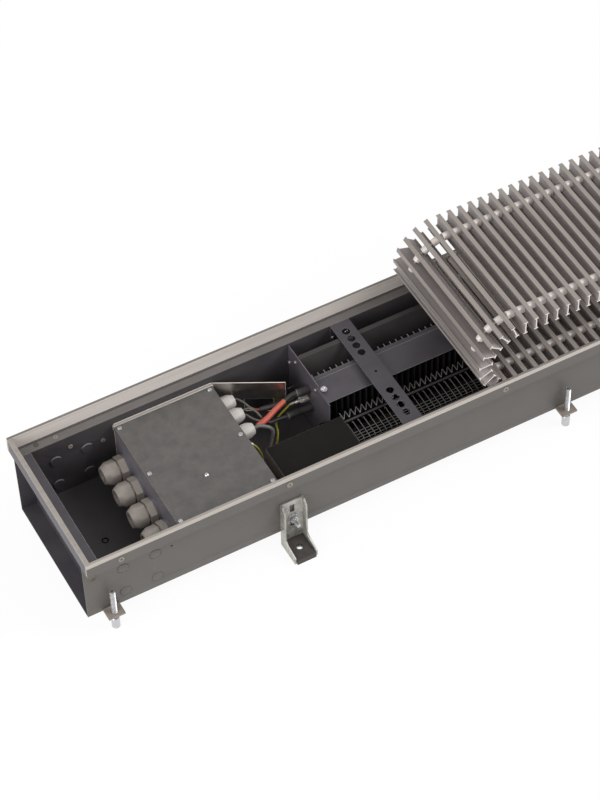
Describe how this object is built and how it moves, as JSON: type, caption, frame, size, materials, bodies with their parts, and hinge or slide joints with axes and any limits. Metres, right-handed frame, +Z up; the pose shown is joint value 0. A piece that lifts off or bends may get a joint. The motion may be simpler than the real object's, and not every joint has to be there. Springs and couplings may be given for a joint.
{
  "type": "trench convector heater",
  "caption": "Electric floor-trench convector with a junction box, fan, finned heater and a roll-up grille folded back on itself.",
  "frame": {"origin": "below the middle of the trench, level with the undersides of the levelling feet", "axes": "+X along the trench away from the junction box, +Y across it from the fan's side to the heater's side, +Z up"},
  "size_m": [1.386, 0.2746, 0.2415],
  "materials": {
    "dark_sheet": "satin dark grey",
    "inner_sheet": "satin dark grey",
    "rim_metal": "satin",
    "tab_steel": "dull",
    "zinc": "bright zinc",
    "bracket_steel": "galvanised",
    "pad_rubber": "matt",
    "box_plastic": "satin",
    "lid_plastic": "satin",
    "gland_grey": "matt",
    "gland_light": "matt",
    "board": "glossy",
    "cream_plastic": "matt",
    "bright_plate": "brushed",
    "black_cable": "matt",
    "red_sleeve": "matt",
    "grey_cable": "matt",
    "earth_sheath": "matt",
    "fin_metal": "dull",
    "rod_metal": "dull",
    "cap_black": "matt",
    "fan_black": "satin black",
    "guard_wire": "satin",
    "grille_metal": "natural anodised"
  },
  "bodies": {
    "trench": {"casing": "dark_sheet", "end_walls": "inner_sheet", "rim_sides": "rim_metal", "rim_ends": "rim_metal", "screw_tabs": "tab_steel", "bracket_bolts": "zinc", "bracket_nuts": "zinc", "box_body": "box_plastic", "box_lid": "lid_plastic", "lid_screws": "zinc", "earth_stud": "zinc", "large_glands": "gland_grey", "small_glands": "gland_light", "control_board": "board", "terminal_block": "cream_plastic", "guard_plate": "bright_plate", "cable_upper": "black_cable", "cable_red": "red_sleeve", "cable_lower": "black_cable", "cable_motor": "grey_cable", "earth_wire": "earth_sheath", "earth_link": "earth_sheath", "heater_ends": "inner_sheet", "fin_block": "fin_metal", "heating_rods": "rod_metal", "terminal_caps": "cap_black", "rear_deflector": "inner_sheet", "front_sheet": "inner_sheet", "crossbars": "inner_sheet", "crossbar_rivets": "zinc", "fan_housing": "fan_black", "fan_motor": "fan_black", "motor_cover": "fan_black", "fan_bearing": "fan_black", "wire_guard": "guard_wire"},
    "grille": {"grille_lower": "grille_metal"},
    "fold_1": {"curl_1": "grille_metal"},
    "fold_2": {"curl_2": "grille_metal"},
    "fold_3": {"curl_3": "grille_metal"},
    "fold_4": {"curl_4": "grille_metal"},
    "fold_5": {"curl_5": "grille_metal"},
    "fold_6": {"curl_6": "grille_metal"},
    "fold_7": {"curl_7": "grille_metal"},
    "fold_8": {"curl_8": "grille_metal"},
    "fold_9": {"grille_upper": "grille_metal"},
    "rotor": {"fan_rotor": "fan_black"},
    "screw_1": {"level_screw_1": "zinc"},
    "screw_2": {"level_screw_2": "zinc"},
    "screw_3": {"level_screw_3": "zinc"},
    "screw_4": {"level_screw_4": "zinc"},
    "screw_5": {"level_screw_5": "zinc"},
    "screw_6": {"level_screw_6": "zinc"},
    "anchor_1": {"bracket_1": "bracket_steel", "pad_1": "pad_rubber"},
    "anchor_2": {"bracket_2": "bracket_steel", "pad_2": "pad_rubber"},
    "anchor_3": {"bracket_3": "bracket_steel", "pad_3": "pad_rubber"},
    "anchor_4": {"bracket_4": "bracket_steel", "pad_4": "pad_rubber"}
  },
  "joints": [
    {"name": "grille_lift", "type": "slide", "parent": "trench", "child": "grille", "axis": [0, 0, 1], "range_m": [0, 0.25]},
    {"name": "fold_hinge_1", "type": "hinge", "parent": "grille", "child": "fold_1", "pos_m": [-0.101, 0, 0.139], "axis": [0, 1, 0], "range_deg": [-32, 0]},
    {"name": "fold_hinge_2", "type": "hinge", "parent": "fold_1", "child": "fold_2", "pos_m": [-0.11414, 0, 0.14721], "axis": [0, 1, 0], "range_deg": [-21, 0]},
    {"name": "fold_hinge_3", "type": "hinge", "parent": "fold_2", "child": "fold_3", "pos_m": [-0.12347, 0, 0.15959], "axis": [0, 1, 0], "range_deg": [-14, 0]},
    {"name": "fold_hinge_4", "type": "hinge", "parent": "fold_3", "child": "fold_4", "pos_m": [-0.12953, 0, 0.17386], "axis": [0, 1, 0], "range_deg": [-21, 0]},
    {"name": "fold_hinge_5", "type": "hinge", "parent": "fold_4", "child": "fold_5", "pos_m": [-0.13007, 0, 0.18935], "axis": [0, 1, 0], "range_deg": [-20, 0]},
    {"name": "fold_hinge_6", "type": "hinge", "parent": "fold_5", "child": "fold_6", "pos_m": [-0.12528, 0, 0.20409], "axis": [0, 1, 0], "range_deg": [-19, 0]},
    {"name": "fold_hinge_7", "type": "hinge", "parent": "fold_6", "child": "fold_7", "pos_m": [-0.11595, 0, 0.21647], "axis": [0, 1, 0], "range_deg": [-16, 0]},
    {"name": "fold_hinge_8", "type": "hinge", "parent": "fold_7", "child": "fold_8", "pos_m": [-0.10357, 0, 0.2258], "axis": [0, 1, 0], "range_deg": [-16, 0]},
    {"name": "fold_hinge_9", "type": "hinge", "parent": "fold_8", "child": "fold_9", "pos_m": [-0.0891, 0, 0.23135], "axis": [0, 1, 0], "range_deg": [-21, 0]},
    {"name": "fan_spin", "type": "hinge", "parent": "trench", "child": "rotor", "pos_m": [0.057, -0.055, 0.066], "axis": [1, 0, 0], "continuous": true},
    {"name": "level_1", "type": "slide", "parent": "trench", "child": "screw_1", "axis": [0, 0, 1], "range_m": [-0.03, 0.006]},
    {"name": "level_2", "type": "slide", "parent": "trench", "child": "screw_2", "axis": [0, 0, 1], "range_m": [-0.03, 0.006]},
    {"name": "level_3", "type": "slide", "parent": "trench", "child": "screw_3", "axis": [0, 0, 1], "range_m": [-0.03, 0.006]},
    {"name": "level_4", "type": "slide", "parent": "trench", "child": "screw_4", "axis": [0, 0, 1], "range_m": [-0.03, 0.006]},
    {"name": "level_5", "type": "slide", "parent": "trench", "child": "screw_5", "axis": [0, 0, 1], "range_m": [-0.03, 0.006]},
    {"name": "level_6", "type": "slide", "parent": "trench", "child": "screw_6", "axis": [0, 0, 1], "range_m": [-0.03, 0.006]},
    {"name": "bracket_slide_1", "type": "slide", "parent": "trench", "child": "anchor_1", "axis": [0, 0, 1], "range_m": [0, 0.016]},
    {"name": "bracket_slide_2", "type": "slide", "parent": "trench", "child": "anchor_2", "axis": [0, 0, 1], "range_m": [0, 0.016]},
    {"name": "bracket_slide_3", "type": "slide", "parent": "trench", "child": "anchor_3", "axis": [0, 0, 1], "range_m": [0, 0.016]},
    {"name": "bracket_slide_4", "type": "slide", "parent": "trench", "child": "anchor_4", "axis": [0, 0, 1], "range_m": [0, 0.016]}
  ]
}
